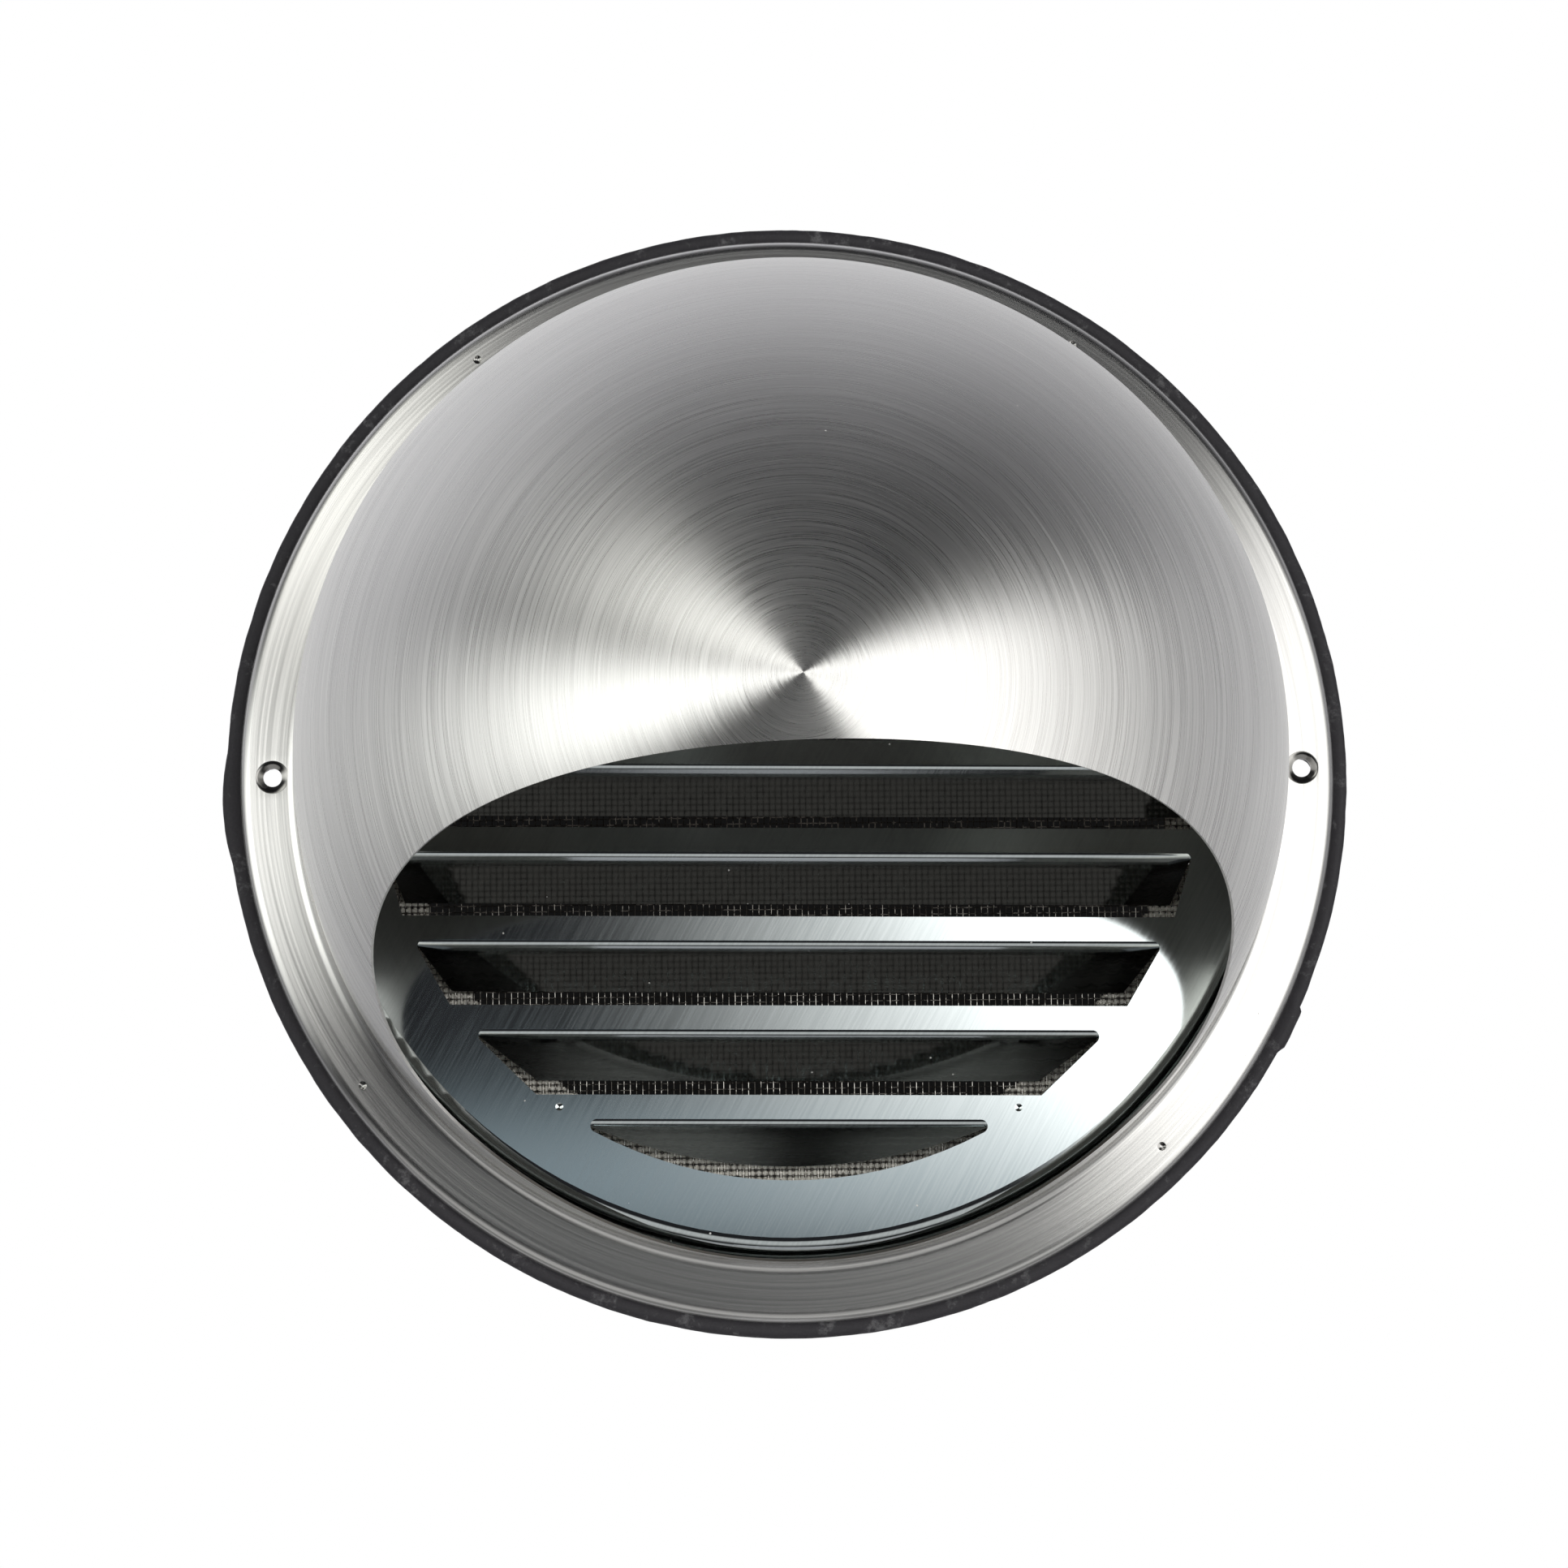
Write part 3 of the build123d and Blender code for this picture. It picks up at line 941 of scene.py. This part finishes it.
def black_foam():
    """Closed-cell foam: purple-black, with pale rubbed smears."""
    material, tree, shader = new_material("black_foam")
    place = object_place(tree)
    cells = noise_of(tree, place, 2200.0, 2.0)
    smear = ramp(tree, noise_of(tree, place, 190.0, 6.0, 0.75), 0.54, 0.7)
    tone = blend_colour(tree, cells, (0.018, 0.017, 0.02, 1), (0.035, 0.032, 0.04, 1))
    feed(tree, shader.inputs["Base Color"], blend_colour(tree, smear, tone, (0.13, 0.128, 0.135, 1)))
    feed(tree, shader.inputs["Roughness"], ramp(tree, smear, 0.0, 1.0, 0.62, 0.8))
    bump(tree, shader, cells, 0.4, 0.0001)
    return material


def dress(piece, *materials):
    """Gives a piece its materials. A new piece isn't cleared, which would drop its faces' own finish."""
    if piece.data.materials:
        piece.data.materials.clear()
    for material in materials:
        piece.data.materials.append(material)


def fit_piece(piece, node):
    """The piece stands for a CAD node, on the one body there is."""
    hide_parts(node)
    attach(piece, "root")


# Studio


def view_direction():
    """The way the camera looks."""
    level = math.cos(camera_tilt)
    x, y = math.sin(camera_azimuth) * level, math.cos(camera_azimuth) * level
    return Vector((x, y, math.sin(camera_tilt)))


def make_camera():
    """The camera, with the photograph's lens, place and roll."""
    camera = bpy.data.objects.new("camera", bpy.data.cameras.new("camera"))
    bpy.context.scene.collection.objects.link(camera)
    camera.data.sensor_width = sensor_width
    camera.data.lens = focal_pixels / photo_side * sensor_width
    camera.data.shift_x = (photo_side / 2 - photo_target[0]) / photo_side
    camera.data.shift_y = (photo_target[1] - photo_side / 2) / photo_side
    forward = view_direction()
    flat_right = Vector((math.cos(camera_azimuth), -math.sin(camera_azimuth), 0))
    flat_up = flat_right.cross(forward)
    right = flat_right * math.cos(camera_roll) + flat_up * math.sin(camera_roll)
    up = flat_up * math.cos(camera_roll) - flat_right * math.sin(camera_roll)
    turn = Matrix((right, up, -forward)).transposed().to_4x4()
    camera.matrix_world = Matrix.Translation(Vector((0, flange_y, 0)) - forward * camera_distance) @ turn
    bpy.context.scene.camera = camera


def window(tree, value, low, high, soft):
    """One between low and high, with soft ends."""
    rise = ramp(tree, value, low - soft, low + soft)
    fall = ramp(tree, value, high - soft, high + soft, 1.0, 0.0)
    return math_node(tree, "MULTIPLY", rise, fall)


def mix_over(tree, under, colour, *masks):
    """Lays a colour over another where all masks are one."""
    share = masks[0]
    for mask in masks[1:]:
        share = math_node(tree, "MULTIPLY", share, mask)
    return blend_colour(tree, share, under, colour)


def studio_room(tree, x, y, z):
    """Dark in front, a pale backdrop behind, and a floor."""
    backdrop = blend_colour(tree, ramp(tree, z, -0.1, 0.7), backdrop_low, backdrop_high)
    rightwards = ramp(tree, x, 0.1, 0.8)
    backdrop = mix_over(tree, backdrop, backdrop_right, rightwards, ramp(tree, z, -0.2, 0.2))
    room = blend_colour(tree, ramp(tree, y, -0.58, 0.7), front_dark, backdrop)
    downwards = ramp(tree, z, -0.5, -0.8)
    room = mix_over(tree, room, floor_under, downwards, ramp(tree, y, 0.05, -0.05))
    room = mix_over(tree, room, floor_behind, downwards, ramp(tree, y, 0.0, 0.2))
    slanting = window(tree, z, -0.92, -0.5, 0.1)
    return mix_over(tree, room, floor_ahead, slanting, ramp(tree, y, -0.15, -0.35))


def studio_lights(tree, room, y, z, right_of, over):
    """A wedge of soft light at each side, a low one in front, and a dim band that tints the plate.

    right_of and over are measured from the direction in which the flange mirrors the camera. A spread is
    the angle about that direction, from the right upwards or from the left upwards.
    """
    left_of = math_node(tree, "MULTIPLY", right_of, -1.0)
    right_spread = math_node(tree, "ARCTAN2", over, right_of)
    left_spread = math_node(tree, "ARCTAN2", over, left_of)
    low_enough = ramp(tree, z, 0.26, 0.52, 1.0, 0.0)
    from_right = ramp(tree, right_of, -0.05, 0.095)
    band = window(tree, z, 0.052, 0.079, 0.011)
    ahead = ramp(tree, y, -0.9, -0.6, 1.0, 0.0)
    room = mix_over(tree, room, band_tint, ahead, band, ramp(tree, right_of, -0.09, -0.068))
    wedge = window(tree, right_spread, math.radians(-50), math.radians(27), wedge_soft)
    fore = ramp(tree, y, -0.9, -0.12, 1.0, 0.0)
    room = mix_over(tree, room, right_light, from_right, fore, low_enough, wedge)
    low = window(tree, over, -0.078, 0.02, 0.03)
    room = mix_over(tree, room, front_light, from_right, low, ramp(tree, right_of, 0.12, 0.3, 1.0, 0.0))
    wedge = window(tree, left_spread, math.radians(-22), math.radians(7), wedge_soft)
    fore = ramp(tree, y, -0.82, 0.05, 1.0, 0.0)
    room = mix_over(tree, room, left_light, ramp(tree, left_of, 0.11, 0.3), fore, low_enough, wedge)
    wedge = window(tree, left_spread, math.radians(17), math.radians(49), wedge_soft)
    fore = ramp(tree, y, -0.95, -0.48, 1.0, 0.0)
    return mix_over(tree, room, upper_left_light, ramp(tree, left_of, 0.02, 0.14), fore, wedge)


def make_world():
    """The studio all round. The camera, and mirrors that face the backdrop, see white paper instead."""
    world = bpy.data.worlds.new("studio")
    bpy.context.scene.world = world
    world.use_nodes = True
    tree = world.node_tree
    tree.nodes.clear()
    parts = add_node(tree, "ShaderNodeSeparateXYZ")
    feed(tree, parts.inputs[0], add_node(tree, "ShaderNodeTexCoord").outputs["Generated"])
    x, y, z = parts.outputs
    mirrored_way = view_direction()
    right_of = math_node(tree, "SUBTRACT", x, mirrored_way.x)
    over = math_node(tree, "SUBTRACT", z, mirrored_way.z)
    studio = add_node(tree, "ShaderNodeBackground")
    feed(tree, studio.inputs["Color"], studio_lights(tree, studio_room(tree, x, y, z), y, z, right_of, over))
    paper = add_node(tree, "ShaderNodeBackground")
    paper.inputs["Color"].default_value = (1, 1, 1, 1)
    rays = add_node(tree, "ShaderNodeLightPath").outputs
    mirrored = math_node(tree, "MAXIMUM", rays["Is Glossy Ray"], rays["Is Transmission Ray"])
    backwards = math_node(tree, "MULTIPLY", ramp(tree, y, 0.2, 1.25), ramp(tree, z, -0.3, 0.1))
    seen = math_node(tree, "MULTIPLY", mirrored, backwards)
    choose = add_node(tree, "ShaderNodeMixShader")
    feed(tree, choose.inputs[0], math_node(tree, "MAXIMUM", rays["Is Camera Ray"], seen))
    feed(tree, choose.inputs[1], studio.outputs[0])
    feed(tree, choose.inputs[2], paper.outputs[0])
    feed(tree, add_node(tree, "ShaderNodeOutputWorld").inputs["Surface"], choose.outputs[0])


def disc(name, centre, radius, normal, count=64):
    """A flat round stage piece that faces along normal."""
    turn = normal.to_track_quat("Z", "Y")
    angles = [2 * math.pi * i / count for i in range(count)]
    points = [centre + turn @ Vector((radius * math.cos(a), radius * math.sin(a), 0)) for a in angles]
    made = mesh_piece(name, points, [tuple(range(count))], smooth=False)
    return made


def make_shade_card():
    """A card behind the spigot, put where there is only shade: black to the camera, and a dim painted glow
    that lights the inside. It shows from the hood's side only.
    """
    centre = Vector((0, spigot_high.y + 0.001, 0))
    card = disc("shade_card", centre, spigot_high.x - sheet, Vector((0, -1, 0)))
    material, tree, shader = new_material("card_painted_shade")
    tree.nodes.remove(shader)
    rays = add_node(tree, "ShaderNodeLightPath")
    glow = add_node(tree, "ShaderNodeEmission")
    # Painted light and shade: a dim glow to other rays, black to the camera.
    feed(tree, glow.inputs["Color"], blend_colour(tree, rays.outputs["Is Camera Ray"], card_painted_fill_glow, card_painted_shade))
    choose = add_node(tree, "ShaderNodeMixShader")
    feed(tree, choose.inputs[0], add_node(tree, "ShaderNodeNewGeometry").outputs["Backfacing"])
    feed(tree, choose.inputs[1], glow.outputs[0])
    feed(tree, choose.inputs[2], add_node(tree, "ShaderNodeBsdfTransparent").outputs[0])
    feed(tree, tree.nodes["Material Output"].inputs["Surface"], choose.outputs[0])
    dress(card, material)


def make_floor():
    """Pale floor well below the part."""
    floor = disc("floor", Vector((0, 0, floor_height)), floor_radius, Vector((0, 0, 1)))
    material, tree, shader = new_material("floor_paper")
    shader.inputs["Base Color"].default_value = (0.85, 0.85, 0.85, 1)
    shader.inputs["Roughness"].default_value = 0.9
    glow = add_node(tree, "ShaderNodeEmission")
    glow.inputs["Color"].default_value = (1, 1, 1, 1)
    choose = add_node(tree, "ShaderNodeMixShader")
    feed(tree, choose.inputs[0], add_node(tree, "ShaderNodeLightPath").outputs["Is Camera Ray"])
    feed(tree, choose.inputs[1], shader.outputs[0])
    feed(tree, choose.inputs[2], glow.outputs[0])
    feed(tree, tree.nodes["Material Output"].inputs["Surface"], choose.outputs[0])
    dress(floor, material)


def build():
    """All pieces, their materials and the studio."""
    hood = make_hood()
    dress(hood, spun_steel(), cut_edge(), raw_inside())
    fit_piece(hood, "hood")
    wire_material = mesh_wire()
    level, upright = Vector((1, 0, 0)), Vector((0, 0, 1))
    for piece in (
        make_weave("mesh_level_wires", level, upright, 0),
        make_weave("mesh_upright_wires", upright, -level, 1),
        make_hem(),
    ):
        dress(piece, wire_material)
        fit_piece(piece, "insect_mesh")
    gasket = make_gasket()
    dress(gasket, black_foam())
    fit_piece(gasket, "foam_gasket")
    dress(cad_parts["louvre_plate"], pressed_steel())
    dress(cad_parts["spigot"], tube_steel())
    make_camera()
    make_world()
    make_floor()
    make_shade_card()
    bpy.context.scene.view_settings.view_transform = "Standard"


build()
